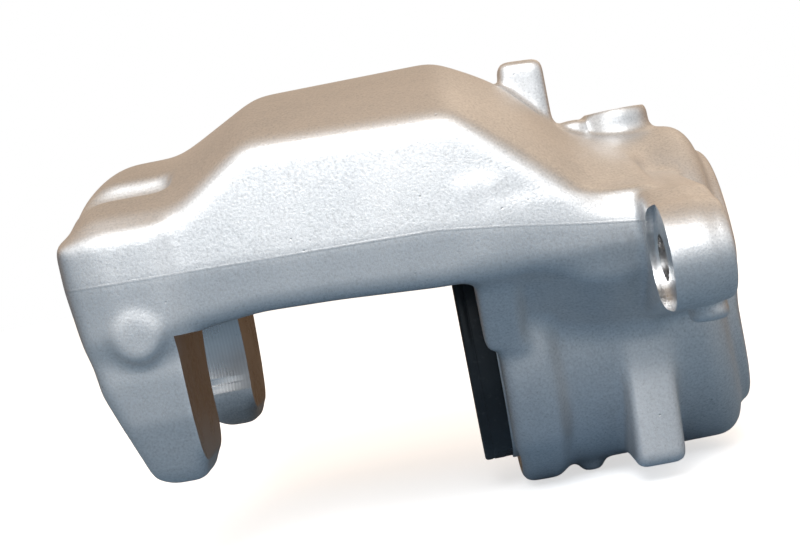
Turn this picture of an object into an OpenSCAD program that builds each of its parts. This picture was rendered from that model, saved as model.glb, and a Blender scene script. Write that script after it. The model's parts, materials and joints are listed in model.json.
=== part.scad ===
// Floating disc brake caliper: a cast housing whose bridge reaches over the disc to two
// fingers, with one hydraulic piston in its cylinder.
// Everything is drawn about the piston's axis, with x = 0 at the rim of the pressed-back
// piston, and then moved so that the origin lies midway between the two guide pin holes,
// in the plane of the ears' front faces. +X runs from the fingers to the cylinder's closed
// end and +Z away from the wheel's axle.

/* [Disc and pad gap] */
// Gap between the finger faces and the pressed-back piston's rim
pad_gap = 55; // [48:1:70]

/* [Piston and bore] */
// Diameter of the piston
piston_d = 57; // [50:0.5:70]
// Length of the piston
piston_len = 50; // [48:1:60]
// Wall of the piston's cup
piston_wall = 7; // [4:0.5:9]
// Thickness of the piston's closed end
piston_floor = 11; // [6:1:14]
// Free length of the chamber behind the pressed-back piston
chamber_len = 2; // [1:0.5:4]
// Radial clearance of the piston in its bore
bore_gap = 0.05; // [0.02:0.01:0.1]
// Length of the wider chamber that the two drillings open into
relief_len = 9; // [8:0.5:12]
// How much deeper that chamber is than the bore, on the radius
relief_depth = 1.5; // [0.5:0.25:2.5]

/* [Seal and dust boot] */
// Section of the square seal, along the bore
seal_w = 4; // [3:0.25:5]
// Section of the square seal, on the radius
seal_t = 3.7; // [3:0.1:4.5]
// Distance of the seal behind the bore's mouth
seal_back = 5.5; // [4:0.5:9]
// How far the folded boot stands out of its seat
boot_out = 6.4; // [5:0.2:8]
// Width of the folded boot, on the radius, outside the piston
boot_fold = 3.8; // [3.4:0.1:5]
// Thickness of the boot's rubber
boot_wall = 1.2; // [0.8:0.1:1.4]
// Depth of the boot's seat in the housing
boot_seat = 4.2; // [3.5:0.1:5]
// Depth of the piston's groove for the boot's bead
bead_depth = 2; // [1:0.25:2.5]
// Width of the piston's groove for the boot's bead
bead_w = 2.4; // [1.8:0.1:3]

/* [Cylinder] */
// Wall of the cylinder around the bore
cyl_wall = 7.8; // [6.4:0.2:9.6]
// Wall of the collar at the cylinder's mouth
collar_wall = 10.4; // [9.8:0.2:12]
// Length of the collar
collar_len = 9; // [6:0.5:12]
// Wall behind the chamber
back_wall = 10.3; // [8:0.1:14]
// Height of the raised disc on the closed end
back_disc_h = 3.3; // [2:0.1:5]
// Wall of the thin ring around the boot's seat
spigot_wall = 4.2; // [4:0.1:5]
// How far that ring stands in front of the collar
spigot_h = 2.1; // [1.5:0.1:3]
// Radius of the corner around the closed end
back_r = 8; // [4:0.5:9]
// How far the flanks beside the boot stand in front of the collar
cheek_len = 4.3; // [2:0.1:6]
// Depth of those flanks below the piston's axis
cheek_low = 4; // [2:0.5:8]

/* [Bridge] */
// Height of the crown of the bridge above the piston's axis
crown_top = 60.5; // [56:0.5:72]
// Height of the shelf over the fingers, at its middle
shelf_top = 52; // [46:0.5:56]
// How much lower the bridge's top is at its sides than at its middle
crown_drop = 15.5; // [10:0.5:18]
// Height of the lower edge of the bridge's sides
side_low = 11.5; // [8:0.5:15]
// Clearance of the arched opening for the disc over the boot
arch_gap = 1.7; // [1:0.1:4]
// Radius of the arched opening for the disc
arch_r = 73; // [68:1:110]
// Draft of the sides, from the parting line to each edge
side_draft = 1.5; // [0.5:0.25:2.5]

/* [Fingers] */
// Thickness of the outer end, at the roots of the fingers
end_t = 21; // [18:0.5:26]
// Thickness of a finger near its tip
tip_t = 10; // [8:0.5:14]
// Height of the fingers' tips below the piston's axis
tip_drop = 17.9; // [14:0.1:22]
// Width of the slot between the fingers
slot_w = 54; // [48:1:56]
// Radial clearance of the boring tool's passage between the fingers
tool_gap = 0.7; // [0.3:0.1:2]
// Distance between the outer sides of the two tips
tips_w = 100; // [90:1:108]
// Diameter of the round pad on the outer side of each finger
side_pad_d = 10.5; // [8:0.5:12]
// Height of that round pad
side_pad_h = 2; // [1:0.5:3]
// Length of the trough on each side of the shelf, from the outer end
trough_len = 23; // [15:1:25]
// Radius of that trough's floor
trough_r = 10; // [8:0.5:12]
// Depth of that trough
trough_depth = 3.5; // [2:0.5:5]

/* [Ears] */
// Distance between the two guide pin holes
pin_spacing = 136; // [124:1:164]
// Height of the guide pin holes above the piston's axis
pin_rise = 10; // [6:0.5:12]
// Diameter of the guide pin holes
pin_hole_d = 9; // [8:0.1:11]
// Radius of the ears' round ends
ear_r = 10.4; // [8:0.1:12]
// Thickness of the ears between their machined seats
ear_t = 11.5; // [9:0.5:14]
// Diameter of the machined seats around the guide pin holes
pin_seat_d = 18; // [14:0.5:20]
// Depth of those seats in the cast ears
pin_seat_depth = 0.6; // [0.2:0.1:1.5]
// Distance from the ears' front seats to the cylinder's closed end, without the disc
ear_back = 19.5; // [16:0.5:24]
// How far the pin holes stand outside the sides of the bridge
ear_out = 7; // [5.5:0.5:9]

/* [Inlet port] */
// Bore of the threaded inlet, at its thread's crests
inlet_bore_d = 8.92; // [8:0.01:10]
// Length of the inlet's threaded wall
inlet_len = 8; // [6:0.5:9]
// Height of the inlet's boss above the cylinder's wall
inlet_rise = 5.65; // [4.5:0.05:8]
// Diameter of the inlet's boss
inlet_boss_d = 15; // [13:0.5:18]
// Diameter of the drillings into the chamber
drill_d = 3.5; // [2.5:0.25:4.5]

/* [Bleed screw] */
// Diameter of the bleed screw's shank
bleed_d = 9.8; // [8:0.1:10]
// Radial clearance of the shank in its hole
bleed_gap = 0.05; // [0.02:0.01:0.1]
// Angle of the bleed screw above the level of the ears
bleed_angle = 40; // [34:1:46]
// Diameter of the bleed screw's boss
bleed_boss_d = 16; // [14:0.5:18]
// Height of that boss above the cylinder's wall
bleed_boss_h = 8.7; // [7:0.1:10]
// Length of the shank in the boss
bleed_shank = 9; // [7:0.5:10]
// Width of the hexagon across its flats
hex_w = 10; // [9:0.5:12]
// Room for a spanner around the hexagon, on the radius
spanner_gap = 1.4; // [1:0.1:3]
// Height of the hexagon
hex_h = 5; // [4:0.5:6]
// Diameter of the hose nipple
nipple_d = 7.4; // [6:0.1:8]
// Length of the hose nipple
nipple_len = 8; // [7:0.5:10]
// Bore of the nipple
nipple_bore = 2.2; // [1.5:0.1:3]
// Wall of the rubber cap
cap_wall = 1.4; // [1:0.1:2]

/* [Cast details] */
// Thickness of the two lugs under the cylinder, along the bore
foot_t = 12; // [8:0.5:14]
// Distance of the lugs' outer faces from the middle
foot_side = 35; // [30:0.5:38]
// Depth of the lugs below the piston's axis
foot_low = 35; // [30:0.5:38]
// Thickness of the lug on top of the cylinder
top_lug_t = 9; // [6:0.5:12]
// Height of that lug above the cylinder's wall
top_lug_h = 20; // [14:0.5:22]
// Diameter of the stubs left by the ejector pins
stub_d = 7; // [5:0.5:9]

/* [Hidden] */

$fn = 96;          // round faces
over = 1;          // how far a cut runs past the face it opens
far = 200;         // longer than the part
fit_gap = 0.05;    // clearance of a pressed or snapped piece in its seat
soft_gap = 0.3;    // clearance of pieces that pass or lie beside each other

// Piston and bore
piston_r = piston_d / 2;
bore_r = piston_r + bore_gap;
bore_end = piston_len + chamber_len;
relief_x = bore_end - relief_len - chamber_len / 2;
cup_r = piston_r - piston_wall;
rim_bevel = 1;

// Cylinder, from its mouth to its closed end
mouth_x = boot_out + spigot_h;
collar_r = bore_r + collar_wall;
cyl_r = bore_r + cyl_wall;
cyl_end = bore_end + back_wall;
spigot_r = bore_r + spigot_wall;
back_disc_r = cyl_r - back_r + 0.6;

// Seal and boot
seal_x = mouth_x + seal_back;
seal_slack = 0.1;
boot_r = piston_r + boot_fold;
boot_seat_r = spigot_r - 0.9;
boot_foot_r = boot_seat_r - fit_gap;
boot_seat_end = boot_out + boot_seat;
bead_x = 2.6;
bead_gap = 0.1;
bead_r = piston_r - bead_depth + bead_gap;
boot_bend_r = 0.9;
fold_r = piston_r + soft_gap;
ring_r = boot_foot_r - boot_wall - fit_gap;
ring_wire = 1.6;

// Bridge
half_w = pin_spacing / 2 - ear_out;
arch_top = boot_r + arch_gap;
top_r = (half_w * half_w + crown_drop * crown_drop) / (2 * crown_drop);
end_x = -pad_gap - end_t;
end_r = 12;
ramp_x = end_x + end_t + 2;
ramp_len = 18;
brow_x = mouth_x - 3.5;
tail_x = cyl_end - ear_back;
parting_front = 24;
parting_back = 17;
tail_top = max(cyl_r - 2, parting_back + crown_drop + 1);
top_points = 16;

// Ears
ear_x = cyl_end - back_disc_h - ear_back;
pin_y = pin_spacing / 2;
ear_top = pin_rise + ear_r;
pin_seat_room = 12;  // length of the pin seat's cutter, to clear the bridge's side

// Ports
port_x = relief_x + relief_len / 2 - 2;
inlet_top = cyl_r + inlet_rise;
bleed_seat = cyl_r + bleed_boss_h;
cone_h = bleed_d / 2 - drill_d / 2;
shank_end = bleed_seat - bleed_shank;
hex_gap = 1;
hex_z = bleed_seat + hex_gap;
hex_r = hex_w / 2 / cos(30);
nipple_z = hex_z + hex_h;
nipple_end = nipple_z + nipple_len;
neck_d = nipple_d - 1.2;
barb_len = 3;
cap_gap = 0.1;

// Lays what is drawn upright along +X, about the piston's axis.
module along_x() { rotate([90, 0, 90]) children(); }

// Moves what is drawn about the piston's axis into the part's own frame.
module in_frame() { translate([-ear_x, 0, -pin_rise]) children(); }

// Draws its children once on each side of the middle plane.
module both_sides() { for (side = [0, 1]) mirror([0, side, 0]) children(); }

// A round solid along +X from x0 to x1.
module round_x(r, x0, x1) { translate([x0, 0, 0]) along_x() cylinder(r = r, h = x1 - x0); }

// A ring along +X.
module ring_x(r_out, r_in, x0, x1) {
    difference() {
        round_x(r_out, x0, x1);
        round_x(r_in, x0 - over, x1 + over);
    }
}

// Extrudes an outline of (x, z) points across the part, from y0 to y1.
module across(y0, y1) {
    translate([0, y1, 0]) rotate([90, 0, 0]) linear_extrude(y1 - y0) children();
}

// Extrudes an outline of (y, z) points along the part, from x0 to x1.
module lengthwise(x0, x1) {
    translate([x0, 0, 0]) along_x() linear_extrude(x1 - x0) children();
}

// Height of the bridge's crown at x.
function crown(x) = lookup(x, [
    [ramp_x, shelf_top],
    [ramp_x + ramp_len, crown_top],
    [brow_x, crown_top],
    [brow_x + 9, crown_top - 4.6],
    [brow_x + 15, crown_top - 9],
    [brow_x + 24, crown_top - 19.5],
    [tail_x, tail_top]
]);

// Height of the parting line on the sides at x.
function parting(x) = lookup(x, [[mouth_x, parting_front], [tail_x, parting_back]]);

// Rounding of the outer end: 0 at its face, 1 where the shelf begins.
function end_round(x) =
    x >= end_x + end_r ? 1 : sqrt(1 - pow(1 - (x - end_x) / end_r, 2));

function top_at(x) = crown(x) - end_r * (1 - end_round(x));
function side_at(x) = half_w - 0.6 * end_r * (1 - end_round(x));

// One closed (y, z) section of the bridge at x.
function bridge_section(x) =
    let (w = side_at(x), top = top_at(x))
    concat(
        [for (i = [0 : top_points])
            let (y = (w - side_draft / 2) * (1 - 2 * i / top_points))
            [x, y, top - top_r + sqrt(top_r * top_r - y * y)]],
        [[x, -w, parting(x)], [x, -w + side_draft, side_low],
         [x, w - side_draft, side_low], [x, w, parting(x)]]);

end_steps = [for (a = [0 : 22.5 : 67.5]) end_x + end_r * (1 - cos(a))];
body_steps = [end_x + end_r, ramp_x, ramp_x + ramp_len / 2, ramp_x + ramp_len, brow_x,
              brow_x + 9, brow_x + 15, brow_x + 24, tail_x];
bridge_steps = concat(end_steps, body_steps);

// The bridge and its shelf as one skin through all the sections.
module bridge_skin() {
    sections = [for (x = bridge_steps) bridge_section(x)];
    n = len(sections[0]);
    last = len(sections) - 1;
    points = [for (s = sections) for (p = s) p];
    sides = [for (k = [0 : last - 1]) for (i = [0 : n - 1])
        let (a = k * n + i, b = k * n + (i + 1) % n, c = a + n, d = b + n)
        each [[a, c, b], [b, c, d]]];
    front = [for (i = [0 : n - 1]) i];
    back = [for (i = [n - 1 : -1 : 0]) last * n + i];
    polyhedron(points, concat(sides, [front, back]));
}

// Side view of a finger and the end it hangs from, as (x, z) points.
module finger_side() {
    root = end_x + 2;
    polygon([
        [-pad_gap, shelf_top - 20], [-pad_gap, -tip_drop + 5.3], [-pad_gap - 0.9, -tip_drop + 1.6],
        [-pad_gap - 3, -tip_drop], [-pad_gap - tip_t + 2, -tip_drop],
        [-pad_gap - tip_t - 1.5, -tip_drop + 2.2], [root + 4.5, -4], [root + 2, 3.5], [root, 17],
        [end_x + 1, parting_front], [end_x + 1, shelf_top - 20]
    ]);
}

// Front view of one finger, as (y, z) points.
module finger_front() {
    inner = slot_w / 2 - over;
    outer = tips_w / 2;
    polygon([
        [inner, shelf_top - 20], [inner, -tip_drop + 9], [inner + 2.5, -tip_drop + 4.5],
        [inner + 6, -tip_drop + 1.6], [inner + 10, -tip_drop], [outer - 4, -tip_drop],
        [outer, -tip_drop + 2], [outer + 2.5, -tip_drop + 6], [half_w - 2, side_low - 5],
        [half_w - 0.5, side_low + 6], [half_w - 1, shelf_top - 20]
    ]);
}

module finger() {
    intersection() {
        across(0, far) finger_side();
        lengthwise(-far, 0) finger_front();
    }
    translate([end_x + 14, half_w - 3, 14]) rotate([-90, 0, 0])
        cylinder(d = side_pad_d, h = 3 + side_pad_h);
}

// What the side view of the outer end leaves out of the bridge's skin.
module under_end() {
    across(-far, far) polygon([
        [end_x - 5, parting_front], [end_x, parting_front], [end_x + 3, 17],
        [end_x + 4, side_low - over], [end_x - 5, side_low - over]
    ]);
}

// The opening between the fingers: straight walls, and a round for the boring tool.
module finger_slot() {
    round_x(piston_r + tool_gap, end_x - over, -pad_gap + over);
    translate([end_x - over, -slot_w / 2, -far])
        cube([end_t + 2 * over, slot_w, far]);
}

module shelf_trough() {
    y = half_w - 17;
    floor_z = shelf_top - top_r + sqrt(top_r * top_r - y * y) - trough_depth;
    translate([end_x - over, y, floor_z + trough_r]) rotate([0, 90, 0])
        cylinder(r = trough_r, h = trough_len + over);
}

// The opening for the disc and the pads.
module disc_window() {
    translate([-pad_gap, 0, arch_top - arch_r]) along_x() cylinder(r = arch_r, h = pad_gap + mouth_x);
}

// The cylinder's outside, with its collar, its rounded closed end and the raised disc.
module cylinder_outside() {
    round_x(collar_r, mouth_x, mouth_x + collar_len);
    round_x(cyl_r, mouth_x, cyl_end - back_disc_h - back_r);
    along_x() rotate_extrude() {
        translate([cyl_r - back_r, cyl_end - back_disc_h - back_r]) circle(r = back_r);
        translate([0, mouth_x]) square([cyl_r - back_r, cyl_end - back_disc_h - mouth_x]);
    }
    round_x(back_disc_r, mouth_x, cyl_end);
    round_x(spigot_r, boot_out, mouth_x + over);
}

// The sides that carry the bridge down on to the cylinder.
module flanks() {
    lengthwise(mouth_x, ear_x) polygon([
        [-half_w + side_draft, side_low + over], [-cyl_r, -1], [cyl_r, -1],
        [half_w - side_draft, side_low + over], [half_w - side_draft, parting_back + 4],
        [-half_w + side_draft, parting_back + 4]
    ]);
}

// The front ends of the flanks, beside the boot.
module cheeks() {
    inner = collar_r + 0.6;
    both_sides() lengthwise(mouth_x - cheek_len, mouth_x + over) polygon([
        [inner, -cheek_low], [inner + 3, -cheek_low], [half_w - side_draft, side_low + over],
        [half_w - side_draft, parting_back + 4], [inner + 3, parting_front], [inner, parting_front]
    ]);
}

module ear() {
    lengthwise(ear_x - pin_seat_depth, ear_x + ear_t + pin_seat_depth) {
        translate([pin_y, pin_rise]) circle(r = ear_r);
        polygon([[cyl_r - 8, -5], [half_w, pin_rise - ear_r], [pin_y, pin_rise - ear_r],
                 [pin_y, ear_top], [half_w, ear_top + 2], [cyl_r - 8, ear_top + 6]]);
    }
}

module cast_lugs() {
    both_sides() translate([ear_x - 8.7, foot_side / 2, -foot_low])
        cube([foot_t, foot_side / 2, foot_low - 12]);
    translate([brow_x + 15, -5, cyl_r - 2]) cube([top_lug_t, 10, top_lug_h + 2]);
    translate([ear_x - 8, -5, cyl_r - 3]) cube([7, 10, inlet_top - cyl_r + 2.5]);
    translate([mouth_x + 16, -5, -cyl_r - 2]) cylinder(d = stub_d, h = 6);
    both_sides() translate([ear_x + ear_t / 2 + 1, half_w - 3, -4]) cylinder(d = stub_d + 1, h = 8);
}

module inlet_boss() {
    translate([port_x, 0, 0]) cylinder(d = inlet_boss_d, h = inlet_top);
}

// Places what is drawn upright on the axis of the bleed screw.
module on_bleed_axis() { translate([port_x, 0, 0]) rotate([bleed_angle - 90, 0, 0]) children(); }

// What the cutting tools take out of the casting.
module machining() {
    round_x(bore_r, boot_out - over, bore_end);
    round_x(bore_r + relief_depth, relief_x, relief_x + relief_len);
    round_x(bore_r + seal_t, seal_x, seal_x + seal_w + seal_slack);
    round_x(boot_seat_r, boot_out - over, boot_seat_end);
    translate([port_x, 0, inlet_top - inlet_len]) cylinder(d = inlet_bore_d, h = inlet_len + over);
    translate([port_x, 0, bore_r - over]) cylinder(d = drill_d, h = inlet_top - bore_r);
    on_bleed_axis() {
        translate([0, 0, bore_r - over]) cylinder(d = drill_d, h = bleed_seat - bore_r);
        translate([0, 0, shank_end]) cylinder(r = bleed_d / 2 + bleed_gap, h = far);
        translate([0, 0, shank_end - cone_h])
            cylinder(d1 = drill_d, d2 = bleed_d + 2 * bleed_gap, h = cone_h);
        translate([0, 0, bleed_seat]) cylinder(r = hex_r + spanner_gap, h = far);
    }
    both_sides() translate([0, pin_y, pin_rise]) {
        round_x(pin_hole_d / 2, ear_x - over, ear_x + ear_t + over);
        round_x(pin_seat_d / 2, ear_x - pin_seat_room, ear_x);
        round_x(pin_seat_d / 2, ear_x + ear_t, ear_x + ear_t + pin_seat_room);
    }
}

module housing() {
    color("silver") in_frame() difference() {
        union() {
            difference() {
                bridge_skin();
                disc_window();
                under_end();
            }
            both_sides() finger();
            cylinder_outside();
            flanks();
            cheeks();
            both_sides() ear();
            cast_lugs();
            inlet_boss();
            on_bleed_axis() cylinder(d = bleed_boss_d, h = bleed_seat);
        }
        finger_slot();
        both_sides() shelf_trough();
        machining();
    }
}

module piston() {
    color("dimgray") in_frame() difference() {
        union() {
            round_x(piston_r - rim_bevel, 0, piston_len);
            round_x(piston_r, rim_bevel, piston_len - rim_bevel);
        }
        round_x(cup_r, -over, piston_len - piston_floor);
        ring_x(piston_r + over, piston_r - bead_depth, bead_x, bead_x + bead_w);
    }
}

module piston_seal() {
    color("black") in_frame()
        ring_x(bore_r + seal_t - fit_gap, piston_r + 0.02, seal_x + seal_slack / 2,
               seal_x + seal_w + seal_slack / 2);
}

// The folded boot: a bead in the piston's groove, a fold back, and a foot in the seat.
module dust_boot() {
    color([0.1, 0.1, 0.1]) in_frame() along_x() rotate_extrude() {
        bead_top = bead_x + bead_gap;
        bead_end = bead_x + bead_w - bead_gap;
        translate([bead_r, bead_top]) square([fold_r + boot_wall - bead_r, bead_end - bead_top]);
        translate([fold_r, boot_bend_r]) square([boot_wall, bead_end - boot_bend_r]);
        translate([fold_r + boot_bend_r, 0])
            square([boot_r - fold_r - 2 * boot_bend_r, boot_wall]);
        translate([fold_r + boot_bend_r, boot_bend_r]) circle(r = boot_bend_r);
        translate([boot_r - boot_bend_r, boot_bend_r]) circle(r = boot_bend_r);
        translate([boot_r - boot_wall, boot_bend_r])
            square([boot_wall, boot_out - boot_bend_r - fit_gap]);
        translate([boot_foot_r - boot_wall, boot_out - boot_wall])
            square([boot_r - boot_foot_r + boot_wall, boot_wall - fit_gap]);
        translate([boot_foot_r - boot_wall, boot_out - boot_wall])
            square([boot_wall, boot_seat + boot_wall - fit_gap]);
    }
}

// A split spring ring that holds the boot's foot in its seat.
module boot_retaining_ring() {
    gap_w = 5;
    color("gainsboro") in_frame() difference() {
        ring_x(ring_r, ring_r - ring_wire, boot_seat_end - ring_wire - fit_gap,
               boot_seat_end - fit_gap);
        translate([boot_seat_end - ring_wire - 1, -gap_w / 2, -far]) cube([ring_wire + 2, gap_w, far]);
    }
}

module bleed_screw() {
    color("goldenrod") in_frame() on_bleed_axis() difference() {
        union() {
            translate([0, 0, shank_end - cone_h + 2 * fit_gap])
                cylinder(d1 = drill_d, d2 = bleed_d, h = cone_h);
            translate([0, 0, shank_end + 2 * fit_gap]) cylinder(d = bleed_d, h = hex_z - shank_end);
            translate([0, 0, hex_z]) cylinder(r = hex_r, h = hex_h, $fn = 6);
            translate([0, 0, nipple_z]) cylinder(d = neck_d, h = nipple_len);
            translate([0, 0, nipple_end - barb_len])
                cylinder(d1 = nipple_d, d2 = nipple_d - 1.6, h = barb_len);
        }
        translate([0, 0, shank_end + 2]) cylinder(d = nipple_bore, h = far);
        translate([-far / 2, 0, shank_end + 3]) rotate([0, 90, 0]) cylinder(d = nipple_bore, h = far);
    }
}

module bleed_screw_cap() {
    cap_r = nipple_d / 2 + cap_gap;
    color([0.15, 0.15, 0.15]) in_frame() on_bleed_axis() difference() {
        union() {
            translate([0, 0, nipple_z + soft_gap])
                cylinder(r = cap_r + cap_wall, h = nipple_len + cap_wall);
            translate([0, 0, nipple_z + soft_gap])
                cylinder(r = cap_r + cap_wall + 0.6, h = 2);
        }
        translate([0, 0, nipple_z]) cylinder(r = cap_r, h = nipple_len + soft_gap);
    }
}

housing();
piston();
piston_seal();
dust_boot();
boot_retaining_ring();
bleed_screw();
bleed_screw_cap();
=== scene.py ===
"""A floating brake caliper: a cast aluminium housing with its piston, dust boot and bleed screw.

The housing's casting is a distance field of named shapes with cast fillets, meshed once, and
then cut by the same tools that machine the real one. Lengths in this file are millimetres
about the piston's axis, with x = 0 at the rim of the pressed-back piston, until place() moves
a finished piece into the part's frame, in metres.
"""

import json
import math

import bmesh
import bpy
import numpy as np
from mathutils import Matrix, Vector


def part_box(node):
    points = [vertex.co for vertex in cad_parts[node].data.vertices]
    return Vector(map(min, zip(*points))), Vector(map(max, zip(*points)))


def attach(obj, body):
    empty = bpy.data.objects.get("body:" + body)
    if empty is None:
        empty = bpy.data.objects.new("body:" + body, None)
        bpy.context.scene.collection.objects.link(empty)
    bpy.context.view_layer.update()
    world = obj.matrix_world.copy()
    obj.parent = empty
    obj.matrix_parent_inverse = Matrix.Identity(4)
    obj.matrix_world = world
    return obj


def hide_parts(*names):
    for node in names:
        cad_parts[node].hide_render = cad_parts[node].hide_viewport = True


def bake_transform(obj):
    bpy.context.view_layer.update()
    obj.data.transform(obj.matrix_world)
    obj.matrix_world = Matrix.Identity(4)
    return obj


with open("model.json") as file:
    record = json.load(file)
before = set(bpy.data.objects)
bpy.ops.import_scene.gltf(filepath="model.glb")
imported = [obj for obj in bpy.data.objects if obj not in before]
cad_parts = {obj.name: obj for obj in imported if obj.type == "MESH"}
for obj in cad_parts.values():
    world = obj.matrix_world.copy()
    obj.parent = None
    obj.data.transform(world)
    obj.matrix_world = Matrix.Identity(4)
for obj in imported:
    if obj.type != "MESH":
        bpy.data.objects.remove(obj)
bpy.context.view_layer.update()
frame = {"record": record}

# ---------------------------------------------------------------- sizes, from the frame
MM = 0.001
piston_low, piston_high = (Vector(c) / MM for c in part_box("piston"))
boot_low, boot_high = (Vector(c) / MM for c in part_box("dust_boot"))
RIM_X = piston_low.x  # where x = 0 lies in the part's frame
AXIS_Z = (piston_low.z + piston_high.z) / 2
PISTON_R = (piston_high.y - piston_low.y) / 2
BOOT_R = (boot_high.y - boot_low.y) / 2
PIN_Y = frame["record"]["mounts"][0]["dims"]["spacing_x_mm"] / 2
PIN_HOLE_R = frame["record"]["mounts"][0]["dims"]["hole_r_mm"]
PIN_Z = -AXIS_Z
EAR_X = -RIM_X
PAD_X = frame["record"]["mounts"][2]["pos_m"][0] / MM - RIM_X
INLET = Vector(frame["record"]["mounts"][1]["pos_m"]) / MM - Vector((RIM_X, 0, AXIS_Z))
INLET_R = frame["record"]["mounts"][1]["dims"]["r_mm"]

# ---------------------------------------------------------------- sizes of the casting
BORE_R = PISTON_R + 0.05
BORE_END = 52.0
RELIEF_X = BORE_END - 10  # the wider chamber that both drillings open into
RELIEF_LEN = 9.0
RELIEF_DEPTH = 1.5
GROOVE_X = 14.0  # the square seal's groove
GROOVE_END = 18.1
GROOVE_DEPTH = 3.7
MOUTH_X = 8.5
SPIGOT_R = BORE_R + 4.2
SPIGOT_X = 6.4
BOOT_SEAT_R = SPIGOT_R - 0.9
BOOT_SEAT_END = SPIGOT_X + 4.2
FACE_TOOL_R = 36.6  # how far the tool that faces the spigot reaches
CYL_R = BORE_R + 7.8
COLLAR_R = BORE_R + 10.3
COLLAR_END = 17.5
BACK_X = 59.4
BACK_DISC_R = 29.5
BACK_DISC_X = 62.3
HALF_W = PIN_Y - 7
END_X = PAD_X - 21
ARCH_R = 73.0
ARCH_TOP = BOOT_R + 1.7
SLOT_HALF = 27.0
TIP_Z = -18.6
EAR_R = 10.4
EAR_T = 11.5
SEAT_R = 9.0
SEAT_DEPTH = 0.6
FRONT_TOOL_R = 10.5  # the tool that faces the whole front of an ear
FRONT_TOOL_OUT = 4.0  # how far outside the pin hole that tool runs
FRONT_SKIN = 1.5
INLET_TOP = CYL_R + 5.65
INLET_BOSS_R = 7.5
INLET_DEPTH = 8.0
DRILL_R = 1.75
BLEED_ANGLE = math.radians(40)
BLEED_SEAT = CYL_R + 8.7
BLEED_BOSS_R = 8.0
BLEED_HOLE_R = 4.95
BLEED_SHANK = 9.0
SKIN = 0.8  # metal left on the casting where it is machined
RING_TURNS = 192  # points around the large turned faces

STEP = 0.55  # spacing of the field's samples


def place(obj):
    """Moves a piece drawn about the piston's axis into the part's frame, in metres."""
    obj.data.transform(Matrix.Scale(MM, 4) @ Matrix.Translation((RIM_X, 0, AXIS_Z)))
    obj.data.update()
    return obj


# ---------------------------------------------------------------- distance fields
def round_max(a, b, r):
    """What lies in both solids, with the edge between them rounded to r."""
    return np.minimum(-r, np.maximum(a, b)) + np.hypot(np.maximum(a + r, 0), np.maximum(b + r, 0))


def round_min(a, b, r):
    """Both solids in one, with a fillet of radius r between them."""
    return np.maximum(r, np.minimum(a, b)) - np.hypot(np.maximum(r - a, 0), np.maximum(r - b, 0))


def span(v, low, high):
    """Distance outside the layer from low to high."""
    return np.maximum(low - v, v - high)


def block(x, y, z, low, high, r=1.0):
    """A box with rounded edges."""
    d = round_max(span(x, low[0], high[0]), span(y, low[1], high[1]), r)
    return round_max(d, span(z, low[2], high[2]), r)


def rod(u, v, along, radius, low, high, r=1.0):
    """A round rod with rounded ends, by its two cross axes and its long one."""
    return round_max(np.hypot(u, v) - radius, span(along, low, high), r)


def outline(u, v, points):
    """Signed distance to a closed outline."""
    near = np.full(np.broadcast(u, v).shape, np.inf, np.float32)
    inside = np.zeros(near.shape, bool)
    for (u0, v0), (u1, v1) in zip(points, points[1:] + points[:1]):
        eu, ev = u1 - u0, v1 - v0
        wu, wv = u - u0, v - v0
        t = np.clip((wu * eu + wv * ev) / (eu * eu + ev * ev), 0, 1)
        near = np.minimum(near, (wu - eu * t) ** 2 + (wv - ev * t) ** 2)
        if ev:
            inside ^= ((v0 > v) != (v1 > v)) & (u < eu * (v - v0) / ev + u0)
    return np.where(inside, -1, 1) * np.sqrt(near)


def blur(field, sigma, step):
    """Gaussian blur by sigma mm, which rounds edges and fills corners."""
    reach = max(1, int(round(2.6 * sigma / step)))
    taps = np.exp(-0.5 * (np.arange(-reach, reach + 1) * step / sigma) ** 2)
    taps /= taps.sum()
    for axis in range(field.ndim):
        size = field.shape[axis]
        pads = [(reach, reach) if a == axis else (0, 0) for a in range(field.ndim)]
        padded = np.pad(field, pads, mode="edge")
        field = np.zeros_like(field)
        for k, tap in enumerate(taps.astype(np.float32)):
            cut = [slice(k, k + size) if a == axis else slice(None) for a in range(field.ndim)]
            field += tap * padded[tuple(cut)]
    return field


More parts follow.
